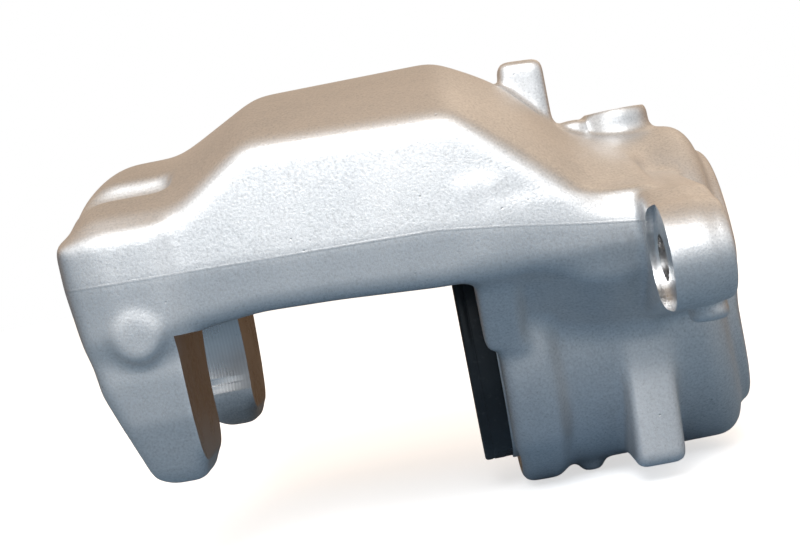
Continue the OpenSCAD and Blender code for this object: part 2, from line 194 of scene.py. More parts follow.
class Field:
    """A solid as signed distances on a grid, built up shape by shape."""

    def __init__(self, low, high, step):
        self.step = step
        self.low = np.array(low, np.float32)
        counts = [int((b - a) / step) + 1 for a, b in zip(low, high)]
        self.x = (low[0] + step * np.arange(counts[0], dtype=np.float32))[:, None, None]
        self.y = (low[1] + step * np.arange(counts[1], dtype=np.float32))[None, :, None]
        self.z = (low[2] + step * np.arange(counts[2], dtype=np.float32))[None, None, :]
        self.d = np.full(counts, 50, np.float32)

    def _window(self, low, high):
        return tuple(
            slice(*np.searchsorted(v.ravel(), (a, b)))
            for v, a, b in zip((self.x, self.y, self.z), low, high)
        )

    def _apply(self, shape, low, high, combine):
        i, j, k = w = self._window(low, high)
        grown = shape(self.x[i], self.y[:, j], self.z[:, :, k]).astype(np.float32)
        self.d[w] = combine(self.d[w], grown)

    def add(self, shape, low, high, r=0.0):
        """Joins a shape on, inside the box from low to high, with a fillet of r."""
        self._apply(shape, low, high, lambda d, s: round_min(d, s, r) if r else np.minimum(d, s))

    def cut(self, shape, low, high, r=0.0):
        """Takes a shape away, with the edges that it leaves rounded to r."""
        self._apply(shape, low, high, lambda d, s: round_max(d, -s, r) if r else np.maximum(d, -s))

    def mesh(self, name):
        """The surface where the field is zero, as quads, one vertex in each crossed cell."""
        d = self.d
        inside = d < 0
        corners = [(i, j, k) for i in (0, 1) for j in (0, 1) for k in (0, 1)]

        def shifted(a, c):
            return a[tuple(slice(o, o + n - 1) for o, n in zip(c, a.shape))]

        filled = sum(shifted(inside, c).astype(np.int8) for c in corners)
        cells = np.argwhere((filled > 0) & (filled < 8))
        index = np.full(filled.shape, -1, np.int32)
        index[tuple(cells.T)] = np.arange(len(cells))
        value = {c: d[tuple((cells + c).T)] for c in corners}
        total = np.zeros((len(cells), 3))
        count = np.zeros(len(cells))
        for a in corners:
            for axis in range(3):
                if a[axis]:
                    continue
                b = tuple(1 if n == axis else v for n, v in enumerate(a))
                crossed = (value[a] < 0) != (value[b] < 0)
                t = value[a] / np.where(crossed, value[a] - value[b], 1)
                for n in range(3):
                    total[:, n] += crossed * (t if n == axis else a[n])
                count += crossed
        points = self.low + self.step * (cells + total / count[:, None])
        quads = []
        for axis in range(3):
            u, v = [n for n in range(3) if n != axis]
            here = tuple(slice(1, n - 1) for n in d.shape)
            ahead = tuple(
                slice(2, n) if a == axis else slice(1, n - 1) for a, n in enumerate(d.shape)
            )
            crossed = np.argwhere(inside[here] != inside[ahead]) + 1
            ring = []
            for du, dv in ((0, 0), (1, 0), (1, 1), (0, 1)):
                cell = crossed.copy()
                cell[:, u] -= du
                cell[:, v] -= dv
                ring.append(index[tuple(cell.T)])
            ring = np.stack(ring, 1)
            out = inside[tuple(crossed.T)]
            flip = ~out if axis != 1 else out
            ring[flip] = ring[flip][:, ::-1]
            quads.append(ring)
        quads = np.concatenate(quads)
        quads = quads[(quads >= 0).all(1)]
        return build_mesh(name, points, quads)


def build_mesh(name, points, faces):
    """A mesh object from arrays of points and of faces with equal corner counts."""
    mesh = bpy.data.meshes.new(name)
    per_face = faces.shape[1]
    mesh.vertices.add(len(points))
    mesh.vertices.foreach_set("co", np.asarray(points, np.float32).ravel())
    mesh.loops.add(faces.size)
    mesh.loops.foreach_set("vertex_index", faces.astype(np.int32).ravel())
    mesh.polygons.add(len(faces))
    mesh.polygons.foreach_set("loop_start", np.arange(0, faces.size, per_face, dtype=np.int32))
    mesh.update(calc_edges=True)
    mesh.validate()
    obj = bpy.data.objects.new(name, mesh)
    bpy.context.scene.collection.objects.link(obj)
    return obj


# ---------------------------------------------------------------- the casting
CROWN = [
    (-56, 50.6), (-53, 51.4), (-35, 60.3), (5, 60.4), (13.5, 56), (19.3, 52.2), (24, 47),
    (29.5, 41), (35.5, 36), (42, 32.5),
]
BROW = [(-76, 37.2), (-58, 36.8), (-50.5, 36.2), (-35.2, 46.4), (6.5, 44.6), (30.7, 22.8), (42, 21)]
PARTING = [(-76, 25), (-1, 23), (12, 21.3), (27, 18.9), (41, 17)]
LIP = [(-76, 11), (-50, 12.6), (-38, 13.8), (-22, 13.2), (-2, 11.8), (42, 11.5)]
END_SIDE = [(-18, -65), (-4, -69), (4, -72.2), (10, -72.9), (17, -73.9), (25, -75.2), (40, -75.4)]


def along(table, v):
    """Straight stretches through a table of (place, value)."""
    return np.interp(v, [p for p, _ in table], [q for _, q in table]).astype(np.float32)


def soft(table, v, sigma=2.0):
    """The same with its corners rounded, by averaging over a short way each side."""
    ways = np.linspace(-2, 2, 9)
    weights = np.exp(-0.5 * ways**2)
    return sum(w * along(table, v + sigma * u) for u, w in zip(ways, weights)) / weights.sum()


def bridge(x, y, z):
    crown, brow = soft(CROWN, x), soft(BROW, x)
    across = np.abs(y) / (HALF_W - 1)
    top = crown - (crown - brow) * across**2
    slope = (crown - brow) * 2 * across / HALF_W
    d_top = (z - top) / np.sqrt(1 + slope**2)
    parting = along(PARTING, x)
    side = HALF_W - 0.05 * np.maximum(z - parting, 0) - 0.13 * np.maximum(parting - z, 0)
    d = round_max(d_top, np.abs(y) - side, 3.2)
    d = round_max(d, soft(END_SIDE, z, 1.5) - x, 11.0)
    d = round_max(d, soft(LIP, x) - z, 3.0)
    return round_max(d, x - 43.6, 2.0)


def disc_window(x, y, z):
    arch = np.hypot(y, z - ARCH_TOP + ARCH_R) - ARCH_R
    return round_max(arch, span(x, PAD_X + SKIN, MOUTH_X - SKIN), 2.5)


FINGER_SIDE = [
    (PAD_X + SKIN, 34), (PAD_X + SKIN, 13), (PAD_X + 3.5, 9), (PAD_X + 3.5, TIP_Z + 8),
    (PAD_X, TIP_Z + 5.3), (PAD_X - 0.8, TIP_Z + 1.4), (PAD_X - 2.4, TIP_Z - 0.2), (-63.2, TIP_Z),
    (-66.6, -16), (-67.8, -11), (-69.7, -4.2), (-72.1, 3.3), (-72.8, 10), (-73.5, 17), (-74.5, 34),
]
FINGER_FRONT = [
    (SLOT_HALF, 34), (SLOT_HALF, TIP_Z + 9.5), (SLOT_HALF + 1.8, TIP_Z + 5.6),
    (SLOT_HALF + 5, TIP_Z + 2.3), (SLOT_HALF + 9, TIP_Z + 0.4), (46, TIP_Z), (49.6, TIP_Z + 1.2),
    (52.2, TIP_Z + 4), (54.2, -10.5), (56.8, -4), (58.3, 5), (58.7, 10.5), (HALF_W - 1.2, 14),
    (HALF_W - 0.8, 34),
]


def fingers(x, y, z):
    return round_max(outline(x, z, FINGER_SIDE), outline(np.abs(y), z, FINGER_FRONT), 2.6)


def crowned(y, z):
    """How much lower the closed end lies at y than at the middle."""
    lower = np.clip((9 - z) / 16, 0, 1)
    return y**2 * (0.0012 + 0.0028 * lower * lower * (3 - 2 * lower))


def cylinder(x, y, z):
    radius = np.hypot(y, z)
    wall = CYL_R + 0.3 - 0.008 * np.clip(x - COLLAR_END, 0, 50)
    back = x + crowned(y, z)
    body = round_max(radius - wall, np.maximum(MOUTH_X - SKIN - x, back - BACK_X), 5.5)
    collar = round_max(radius - COLLAR_R, span(x, MOUTH_X - SKIN, COLLAR_END), 2.2)
    disc = round_max(radius - BACK_DISC_R, np.maximum(MOUTH_X - x, back - BACK_DISC_X), 1.3)
    spigot = np.maximum(radius - SPIGOT_R - SKIN, span(x, SPIGOT_X - SKIN, MOUTH_X))
    return np.minimum(round_min(round_min(body, collar, 2.5), disc, 1.6), spigot)


CHEEK_X = 4.2
FLANK_FOOT = [(10, -0.5), (30, -4)]  # height at which the flank meets the cylinder, along x
FLANK_BREAK = [(4, 16.5), (10, 16.5), (18, 13), (26, 8.5), (33, 7.5), (39, 10)]


def flanks(x, y, z):
    """The sides that carry the bridge down on to the cylinder."""
    low, high = soft(FLANK_FOOT, x), soft(FLANK_BREAK, x)
    wide = HALF_W - 2 - CYL_R
    slope = ((np.abs(y) - CYL_R) * (high - low) - (z - low) * wide) / np.hypot(high - low, wide)
    d = round_max(slope, np.abs(y) - HALF_W + 2.2, 2.5)
    return round_max(np.maximum(d, z - 24), span(x, MOUTH_X - SKIN, EAR_X + 3), 3.0)


CHEEK = [
    (COLLAR_R, 30), (COLLAR_R, -4), (COLLAR_R + 2.5, -4), (HALF_W - 4, 13), (HALF_W - 2.2, 16.5),
    (HALF_W - 2.2, 30),
]


def cheeks(x, y, z):
    """The front ends of the flanks, beside the boot."""
    return round_max(outline(np.abs(y), z, CHEEK), span(x, CHEEK_X, MOUTH_X + 4), 1.6)


def collar_band(x, y, z):
    """The collar's sides, which stand a little out of its round."""
    d = round_max(np.hypot(y, z) - COLLAR_R - 0.7, span(x, MOUTH_X - SKIN, COLLAR_END), 2.0)
    return round_max(d, np.abs(z + 12) - 16, 3.0)


EAR_ARM = [
    (20, -6), (HALF_W - 2, PIN_Z - EAR_R + 0.6), (PIN_Y, PIN_Z - EAR_R), (PIN_Y, PIN_Z + EAR_R),
    (HALF_W, PIN_Z + EAR_R + 2.3), (20, 27),
]


def ears(x, y, z):
    y = np.abs(y)
    side = np.minimum(outline(y, z, EAR_ARM), np.hypot(y - PIN_Y, z - PIN_Z) - EAR_R)
    side = side + 0.5 * np.clip((x - 47.4) / 0.8, 0, 1)
    return round_max(side, span(x, EAR_X - FRONT_SKIN, EAR_X + EAR_T + SEAT_DEPTH), 1.2)


def bleed_frame(x, y, z):
    """Turns y and z so that the last of them runs out along the bleed screw."""
    c, s = math.cos(BLEED_ANGLE), math.sin(BLEED_ANGLE)
    return x - INLET.x, y * s - z * c, y * c + z * s


def bleed_boss(x, y, z):
    u, v, w = bleed_frame(x, y, z)
    return rod(u, v, w, BLEED_BOSS_R, 20, BLEED_SEAT + SEAT_DEPTH, 1.2)


def trough(x, y, z):
    y0 = HALF_W - 17
    floor = 51.4 - 14.6 * (y0 / (HALF_W - 1)) ** 2 - 3.9
    return rod(np.abs(y) - y0, z - floor - 6, x, 6.0, END_X - 10, -53, 2.5)


def finger_opening(x, y, z):
    """The way of the boring tool, and the open slot below it."""
    slot = round_max(np.abs(y) - SLOT_HALF, z + 0 * y, 1.0)
    return np.minimum(np.hypot(y, z) - PISTON_R + 0.6, slot)


def feet(x, y, z):
    """The two lugs under the cylinder."""
    return block(x - 0.05 * (z + 35), np.abs(y), z, (31, 14, -35), (41.8, 35, -8), 1.6)


def top_lug(x, y, z):
    return block(x, y, z + 0.06 * (x - 20), (19.6, -5.5, 30), (29.9, 5.5, 57.6), 1.7)


def inlet_boss(x, y, z):
    return rod(x - INLET.x, y, z, INLET_BOSS_R, 20, INLET_TOP + SEAT_DEPTH, 1.2)


def inlet_shoulder(x, y, z):
    """The block that stands beside the inlet's boss."""
    return block(x, y, z, (31.0, -5.5, 25), (37.0, 5.5, INLET_TOP - 0.5), 0.8)


def ejector_stub(x, y, z):
    return rod(x - 23.9, y + 5.5, z, 2.9, -38.4, -30, 0.6)


def ear_stub(x, y, z):
    """The ejector's stub under each ear, a little wider at its end."""
    return rod(x - 47.7, np.abs(y) - 58, z, 3.7 - 0.16 * z, -4.2, 5, 0.5)


def finger_pad(x, y, z):
    return rod(x + 62, z - 13.5, np.abs(y), 5.0, 50, HALF_W + 0.5, 0.8)


def build_casting():
    field = Field((-80, -81, -42), (66, 81, 65), STEP)
    whole = ((-999,) * 3, (999,) * 3)
    field.add(bridge, *whole)
    field.cut(disc_window, *whole, r=2.0)
    field.add(fingers, (-80, -81, -42), (-48, 81, 36), r=5.0)
    field.add(cylinder, (0, -60, -42), (66, 60, 60), r=5.0)
    field.add(flanks, (0, -81, -20), (60, 81, 40), r=3.0)
    field.add(cheeks, (-2, -64, -14), (18, 64, 34), r=3.0)
    field.add(collar_band, (0, -44, -36), (26, 44, 12), r=3.5)
    field.cut(finger_opening, (-81, -40, -42), (PAD_X + 2, 40, 40), r=3.5)
    field.add(ears, (30, -81, -15), (60, 81, 40), r=1.2)
    field.add(feet, (24, -42, -42), (50, 42, 0), r=1.4)
    field.add(top_lug, (14, -12, 30), (36, 12, 63), r=2.0)
    field.add(inlet_boss, (33, -14, 25), (58, 14, 50), r=1.6)
    field.add(inlet_shoulder, (26, -12, 25), (42, 12, 47), r=0.4)
    field.add(bleed_boss, (30, 8, 5), (60, 60, 60), r=3.0)
    field.add(ejector_stub, (18, -12, -42), (31, 2, -30), r=0.8)
    field.add(ear_stub, (38, -66, -8), (54, 66, 8), r=0.8)
    field.add(finger_pad, (-72, -70, 4), (-52, 70, 24), r=1.0)
    field.cut(trough, (-80, -62, 25), (-48, 62, 60), r=1.2)
    field.d = blur(np.clip(field.d, -6, 6), 0.9, STEP)
    return field.mesh("housing_casting")


# ---------------------------------------------------------------- machining
ALONG_X = Matrix.Rotation(math.radians(90), 4, "Y")
UPWARD = Matrix.Identity(4)


def solid_of(name, make):
    """A mesh object from what make(bm) draws."""
    bm = bmesh.new()
    make(bm)
    bmesh.ops.recalc_face_normals(bm, faces=bm.faces)
    mesh = bpy.data.meshes.new(name)
    bm.to_mesh(mesh)
    bm.free()
    obj = bpy.data.objects.new(name, mesh)
    bpy.context.scene.collection.objects.link(obj)
    return obj


def weld(obj):
    """Merges points that coincide, turns the faces outwards and drops what is left empty."""
    bm = bmesh.new()
    bm.from_mesh(obj.data)
    bmesh.ops.remove_doubles(bm, verts=bm.verts, dist=1e-4)
    bmesh.ops.dissolve_degenerate(bm, edges=bm.edges, dist=1e-5)
    bmesh.ops.recalc_face_normals(bm, faces=bm.faces)
    bm.to_mesh(obj.data)
    bm.free()
    return obj


def lathe(name, profile, segments):
    """A round piece about the x axis from its closed (x, radius) outline, met at the axis."""
    n = len(profile)
    turns = np.arange(segments) * 2 * math.pi / segments
    x = np.array([p[0] for p in profile])
    r = np.array([p[1] for p in profile])
    points = np.stack([
        np.broadcast_to(x, (segments, n)),
        r * np.cos(turns)[:, None],
        r * np.sin(turns)[:, None],
    ], 2).reshape(-1, 3)
    faces = []
    for k in range(segments):
        for i in range(n):
            a, b = k * n + i, k * n + (i + 1) % n
            c, d = (k + 1) % segments * n + i, (k + 1) % segments * n + (i + 1) % n
            faces.append((a, b, d, c))
    return weld(build_mesh(name, points, np.array(faces)))


def drill(name, radius, start, end, toward=ALONG_X, at=(0, 0, 0), segments=96, end_radius=None):
    """A round cutter from start to end along an axis, or along a turned matrix."""
    def make(bm):
        bmesh.ops.create_cone(
            bm, cap_ends=True, cap_tris=True, segments=segments, radius1=radius,
            radius2=radius if end_radius is None else end_radius, depth=end - start,
            matrix=Matrix.Translation(at) @ toward @ Matrix.Translation((0, 0, (start + end) / 2)),
        )
    return solid_of(name, make)


def box_cutter(name, low, high):
    def make(bm):
        size = [b - a for a, b in zip(low, high)]
        mid = [(a + b) / 2 for a, b in zip(low, high)]
        bmesh.ops.create_cube(bm, matrix=Matrix.Translation(mid) @ Matrix.Diagonal((*size, 1)))
        bmesh.ops.subdivide_edges(bm, edges=bm.edges, cuts=24, use_grid_fill=True)
    return solid_of(name, make)


def machine(obj, cutter):
    """Cuts obj with cutter. The new faces take the cutter's material.

    A cutter's flat ends are fans of triangles, so that no cut face has a hole in it.
    """
    bpy.context.view_layer.objects.active = obj
    mod = obj.modifiers.new("cut", "BOOLEAN")
    mod.operation, mod.object, mod.solver = "DIFFERENCE", cutter, "MANIFOLD"
    mod.material_mode = "TRANSFER"
    with bpy.context.temp_override(object=obj, active_object=obj):
        bpy.ops.object.modifier_apply(modifier=mod.name)
    bpy.data.objects.remove(cutter)


BLEED_WAY = Matrix.Rotation(BLEED_ANGLE - math.pi / 2, 4, "X")


def machine_housing(obj, metal):
    inlet_at = (INLET.x, 0, 0)
    relief_end, open_x = RELIEF_X + RELIEF_LEN, SPIGOT_X - 3
    cutters = [
        lathe("bore_tool", [
            (open_x, 0), (open_x, BOOT_SEAT_R), (BOOT_SEAT_END, BOOT_SEAT_R),
            (BOOT_SEAT_END, BORE_R + 0.6), (BOOT_SEAT_END + 0.6, BORE_R), (GROOVE_X, BORE_R),
            (GROOVE_X, BORE_R + GROOVE_DEPTH), (GROOVE_END, BORE_R + GROOVE_DEPTH),
            (GROOVE_END, BORE_R), (RELIEF_X, BORE_R), (RELIEF_X, BORE_R + RELIEF_DEPTH),
            (relief_end, BORE_R + RELIEF_DEPTH), (relief_end, BORE_R), (BORE_END - 1, BORE_R),
            (BORE_END, BORE_R - 1), (BORE_END, 0),
        ], RING_TURNS),
        lathe("spigot_tool", [
            (open_x, SPIGOT_R), (open_x, FACE_TOOL_R), (MOUTH_X, FACE_TOOL_R), (MOUTH_X, SPIGOT_R),
        ], RING_TURNS),
        lathe("spigot_face_tool", [
            (open_x, 20), (open_x, FACE_TOOL_R), (SPIGOT_X, FACE_TOOL_R), (SPIGOT_X, 20),
        ], RING_TURNS),
        box_cutter("pad_face_tool", (PAD_X, -75, -30), (PAD_X + 6, 75, 12.6)),
        drill("slot_tool", PISTON_R + 0.7, END_X - 5, PAD_X + 5, segments=160),
        drill("inlet_face_tool", 6.9, INLET_TOP, 60, UPWARD, inlet_at),
        drill("inlet_tool", INLET_R, INLET_TOP - INLET_DEPTH, 60, UPWARD, inlet_at, 48),
        drill("inlet_bevel_tool", INLET_R - 0.5, INLET_TOP - 1.3, INLET_TOP + 1, UPWARD,
              inlet_at, 48, INLET_R + 1.8),
        drill("inlet_drill", DRILL_R, BORE_R - 1, INLET_TOP, UPWARD, inlet_at, 24),
        drill("bleed_face_tool", 7.2, BLEED_SEAT, 80, BLEED_WAY, inlet_at),
        drill("bleed_tool", BLEED_HOLE_R, BLEED_SEAT - BLEED_SHANK, 80, BLEED_WAY, inlet_at, 48),
        drill("bleed_drill", DRILL_R, BORE_R - 1, BLEED_SEAT, BLEED_WAY, inlet_at, 24),
    ]
    for side in (-1, 1):
        at = (0, side * PIN_Y, PIN_Z)
        front_at = (0, side * (PIN_Y + FRONT_TOOL_OUT), PIN_Z)
        cutters += [
            drill("pin_tool", PIN_HOLE_R, EAR_X - 5, EAR_X + EAR_T + 5, at=at, segments=64),
            drill("front_seat_tool", FRONT_TOOL_R, EAR_X - 4, EAR_X, at=front_at),
            drill("back_seat_tool", SEAT_R, EAR_X + EAR_T, EAR_X + EAR_T + 12, at=at),
        ]
    for cutter in cutters:
        cutter.data.materials.append(cast_metal if cutter.name == "spigot_tool" else metal)
        machine(obj, cutter)


# ---------------------------------------------------------------- materials
class Surface:
    """A node material under construction, drawn in the part's frame in metres."""

    def __init__(self, name, **sockets):
        self.material = bpy.data.materials.new(name)
        self.material.use_nodes = True
        self.tree = self.material.node_tree
        self.shader = self.tree.nodes["Principled BSDF"]
        for key, value in sockets.items():
            self.shader.inputs[key.replace("_", " ")].default_value = value
        self.place = self.node("ShaderNodeTexCoord").outputs["Object"]

    def node(self, kind, inputs=(), **settings):
        """Adds a node. Its inputs are numbers, colours or other nodes' outputs, by socket."""
        made = self.tree.nodes.new(kind)
        for key, value in settings.items():
            setattr(made, key, value)
        for key, value in dict(inputs).items():
            if isinstance(value, bpy.types.NodeSocket):
                self.tree.links.new(value, made.inputs[key])
            else:
                made.inputs[key].default_value = value
        return made

    def noise(self, scale, detail=3.0, rough=0.55, vector=None):
        return self.node("ShaderNodeTexNoise", {
            "Vector": vector or self.place, "Scale": scale, "Detail": detail, "Roughness": rough,
        }).outputs["Fac"]

    def stretched(self, turn, stretch):
        """The place, turned and then stretched, for streaks and scratches."""
        turned = self.node("ShaderNodeMapping", {"Vector": self.place, "Rotation": turn})
        return self.node("ShaderNodeMapping", {
            "Vector": turned.outputs["Vector"], "Scale": stretch,
        }).outputs["Vector"]

    def cells(self, scale, vector=None):
        return self.node("ShaderNodeTexVoronoi", {
            "Vector": vector or self.place, "Scale": scale,
        }).outputs["Distance"]

    def span(self, value, low, high, to_low=0.0, to_high=1.0):
        """Maps value from low..high to to_low..to_high, held at the ends."""
        return self.node("ShaderNodeMapRange", {
            "Value": value, "From Min": low, "From Max": high, "To Min": to_low, "To Max": to_high,
        }).outputs["Result"]

    def math(self, operation, a, b=0.0):
        return self.node("ShaderNodeMath", {0: a, 1: b}, operation=operation).outputs[0]

    def mix(self, factor, a, b):
        return self.node("ShaderNodeMix", {0: factor, 6: a, 7: b}, data_type="RGBA").outputs[2]

    def bump(self, height, distance, strength=1.0, normal=None):
        inputs = {"Height": height, "Distance": distance, "Strength": strength}
        if normal:
            inputs["Normal"] = normal
        return self.node("ShaderNodeBump", inputs).outputs["Normal"]

    def finish(self, **links):
        for key, output in links.items():
            self.tree.links.new(output, self.shader.inputs[key.replace("_", " ")])
        return self.material


def grey(v, warm=0.0):
    return (v * (1 + warm), v, v * (1 - warm), 1)


def scratches(s, turn, density):
    """Fine straight marks in one direction: 1 on a mark, 0 beside it."""
    lines = s.cells(1.0, s.stretched(turn, (9.0, density, density)))
    return s.span(lines, 0.0, 0.055, 1.0, 0.0)


def cast_aluminium():
    s = Surface("cast_aluminium", Metallic=0.9)
    grain = s.noise(1900, 4.0, 0.75)
    lumps = s.noise(620, 1.0)
    cloud = s.noise(34, 4.0, 0.6)
    pits = s.span(s.cells(430), 0.0, 0.13, 1.0, 0.0)
    pits = s.math("MULTIPLY", pits, s.span(s.noise(120), 0.56, 0.64))
    marks = s.math("MAXIMUM", scratches(s, (0.5, 0.15, 0.3), 160),
                   scratches(s, (1.2, -0.6, 0.9), 130))
    marks = s.math("MAXIMUM", marks, scratches(s, (0.2, 0.9, -0.4), 150))
    marks = s.math("MULTIPLY", marks, s.span(s.noise(26), 0.48, 0.62))
    wear = s.span(s.node("ShaderNodeNewGeometry").outputs["Pointiness"], 0.5, 0.57)
    parting = s.node("ShaderNodeAttribute", attribute_name="parting").outputs["Fac"]
    # The parting line: a raised fin in the bump, and a darker line in the colour that is painted
    # shade of the crease along it.
    flash_and_crease_shade = s.span(s.math("ABSOLUTE", parting), 0.0001, 0.00035, 1.0, 0.0)
    flash_and_crease_shade = s.math("MULTIPLY", flash_and_crease_shade, s.span(s.noise(60), 0.42, 0.6, 0.45, 0.8))
    base = s.mix(s.span(cloud, 0.35, 0.65), grey(0.60, -0.012), grey(0.69, 0.006))
    base = s.mix(s.span(grain, 0.45, 0.66, 0.0, 0.6), base, grey(0.88))
    base = s.mix(s.span(grain, 0.44, 0.30, 0.0, 0.5), base, grey(0.34))
    base = s.mix(s.math("MULTIPLY", wear, 0.5), base, grey(0.86))
    base = s.mix(s.math("MULTIPLY", marks, 0.75), base, grey(0.92))
    base = s.mix(s.math("MULTIPLY", pits, 0.7), base, grey(0.24))
    # Painted shade: darkens the colour along the parting line's crease.
    base = s.mix(s.math("MULTIPLY", flash_and_crease_shade, 0.3), base, grey(0.4))
    rough = s.math("SUBTRACT", s.span(grain, 0.3, 0.7, 0.52, 0.38), s.math("MULTIPLY", marks, 0.2))
    normal = s.bump(lumps, 0.00003, 0.2)
    normal = s.bump(grain, 0.00007, 0.7, normal)
    normal = s.bump(s.math("ADD", pits, s.math("MULTIPLY", flash_and_crease_shade, -0.5)), -0.0001, 0.6, normal)
    return s.finish(Base_Color=base, Roughness=rough, Normal=normal)


def machined_aluminium():
    """Turned and milled faces, with tool marks around the piston's axis."""
    s = Surface("machined_aluminium", Metallic=1.0)
    moved = s.node("ShaderNodeMapping", {
        "Vector": s.place, "Location": (-RIM_X * MM, 0, -AXIS_Z * MM),
    }).outputs["Vector"]
    rings = s.node("ShaderNodeTexWave", {
        "Vector": moved, "Scale": 330.0, "Distortion": 0.6, "Detail": 2.0, "Detail Scale": 2.0,
    }, wave_type="RINGS", rings_direction="X").outputs["Fac"]
    turned = s.node("ShaderNodeTexWave", {
        "Vector": moved, "Scale": 380.0, "Distortion": 0.4, "Detail": 2.0,
    }, bands_direction="X").outputs["Fac"]
    lines = s.math("ADD", rings, turned)
    stain = s.noise(55, 4.0)
    base = s.mix(s.span(stain, 0.35, 0.7), grey(0.62, 0.01), grey(0.80))
    base = s.mix(s.span(lines, 0.6, 1.6, 0.0, 0.25), base, grey(0.45))
    rough = s.span(s.math("ADD", stain, s.math("MULTIPLY", lines, 0.12)), 0.4, 0.9, 0.2, 0.36)
    normal = s.bump(lines, 0.00002, 0.25)
    normal = s.bump(s.noise(900), 0.00004, 0.3, normal)
    return s.finish(Base_Color=base, Roughness=rough, Normal=normal)


def moulded(name, dark, light, rough, grain_size, depth):
    """Moulded rubber: a fine skin, faint bloom in patches, and dust in the grain."""
    s = Surface(name, Metallic=0.0)
    grain = s.noise(grain_size, 3.0, 0.6)
    bloom = s.noise(70, 5.0, 0.6)
    base = s.mix(s.span(bloom, 0.4, 0.75, 0.0, 0.8), (*dark, 1), (*light, 1))
    base = s.mix(s.span(grain, 0.6, 0.78, 0.0, 0.25), base, (0.12, 0.12, 0.118, 1))
    rough = s.span(s.math("ADD", bloom, s.math("MULTIPLY", grain, 0.4)), 0.5, 0.9, *rough)
    return s.finish(Base_Color=base, Roughness=rough, Normal=s.bump(grain, depth, 0.6))


def phenolic():
    """Ground phenolic with glass specks."""
    s = Surface("phenolic", Metallic=0.0)
    specks = s.span(s.cells(1500), 0.05, 0.22, 1.0, 0.0)
    specks = s.math("MULTIPLY", specks, s.span(s.noise(700), 0.5, 0.62))
    ground = s.noise(1.0, 3.0, 0.6, s.stretched((0, 0, 0), (2400, 160, 160)))
    base = s.mix(s.span(s.noise(90), 0.35, 0.7), (0.035, 0.026, 0.02, 1), (0.075, 0.058, 0.045, 1))
    base = s.mix(s.math("MULTIPLY", specks, 0.6), base, (0.25, 0.22, 0.18, 1))
    rough = s.span(ground, 0.3, 0.7, 0.34, 0.52)
    return s.finish(Base_Color=base, Roughness=rough, Normal=s.bump(ground, 0.00003, 0.5))


def steel(name, low, high, warm, rough):
    """Drawn or plated steel with fine streaks and dull spots."""
    s = Surface(name, Metallic=1.0)
    streak = s.noise(1.0, 3.0, 0.6, s.stretched((0, 0, 0), (300, 2600, 2600)))
    spots = s.noise(240, 4.0, 0.65)
    base = s.mix(s.span(spots, 0.35, 0.7), grey(low, warm), grey(high, warm * 0.5))
    base = s.mix(s.span(streak, 0.55, 0.8, 0.0, 0.3), base, grey(0.9, warm * 0.3))
    shine = s.span(s.math("ADD", spots, s.math("MULTIPLY", streak, 0.3)), 0.45, 0.9, *rough)
    return s.finish(Base_Color=base, Roughness=shine, Normal=s.bump(streak, 0.00002, 0.5))


# ---------------------------------------------------------------- the housing
cast_metal = cast_aluminium()
cut_metal = machined_aluminium()


def mark_parting(mesh):
    """Stores each point's height above the parting line on the two sides, in metres."""
    co = np.empty(len(mesh.vertices) * 3, np.float32)
    mesh.vertices.foreach_get("co", co)
    x, y, z = co.reshape(-1, 3).T
    height = z - along(PARTING, x)
    off_side = np.maximum(0, HALF_W - 3 - np.abs(y)) + np.maximum(0, x - EAR_X)
    mesh.attributes.new("parting", "FLOAT", "POINT").data.foreach_set(
        "value", ((height + np.where(off_side > 0, 500, 0)) * MM).astype(np.float32)
    )


def smooth(obj, angle=32):
    obj.data.polygons.foreach_set("use_smooth", [True] * len(obj.data.polygons))
    obj.data.set_sharp_from_angle(angle=math.radians(angle))
    return obj


def piece(obj, name, body, node=None, angle=32):
    """Names a finished piece, hangs it on the body that it rides on, and hides the frame's part
    that it stands for.
    """
    obj.name = name
    smooth(place(obj), angle)
    if body:
        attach(obj, body)
    if node:
        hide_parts(node)
    return obj


housing = build_casting()
housing.data.materials.append(cast_metal)
machine_housing(housing, cut_metal)
mark_parting(housing.data)
piece(housing, "housing_cast", "housing", "housing")

# ---------------------------------------------------------------- piston, seal, boot, ring
CUP_R = PISTON_R - 7
PISTON_END = 50.0


def arc(x, r, radius, start, end, steps=6):
    """Points of a rounded corner about (x, r), by angles in degrees from the x axis."""
    angles = np.radians(np.linspace(start, end, steps))
    return [(x + radius * math.cos(a), r + radius * math.sin(a)) for a in angles]


piston = lathe("piston", [
    *arc(0.8, CUP_R + 0.8, 0.8, 270, 180), *arc(1.0, PISTON_R - 1.0, 1.0, 180, 90),
    (2.6, PISTON_R), (2.6, PISTON_R - 2), (5.0, PISTON_R - 2), (5.0, PISTON_R),
    (20, PISTON_R), (35, PISTON_R), *arc(PISTON_END - 1, PISTON_R - 1, 1.0, 90, 0),
    (PISTON_END, 0.0), (PISTON_END - 11, 0.0), (PISTON_END - 11, CUP_R - 9),
    *arc(PISTON_END - 15, CUP_R - 4, 4.0, 0, 90), (24, CUP_R), (12, CUP_R),
], RING_TURNS)
piston.data.materials.append(phenolic())
piece(piston, "piston_body", "piston", "piston")

seal = lathe("seal", [
    *arc(14.35, PISTON_R + 0.32, 0.3, 270, 180, 4), *arc(14.35, BORE_R + 3.35, 0.3, 180, 90, 4),
    *arc(17.75, BORE_R + 3.35, 0.3, 90, 0, 4), *arc(17.75, PISTON_R + 0.32, 0.3, 0, -90, 4),
], RING_TURNS)
seal.data.materials.append(
    moulded("seal_rubber", (0.012, 0.012, 0.012), (0.03, 0.03, 0.03), (0.4, 0.55), 900, 0.00003))
piece(seal, "square_seal", "housing", "piston_seal")

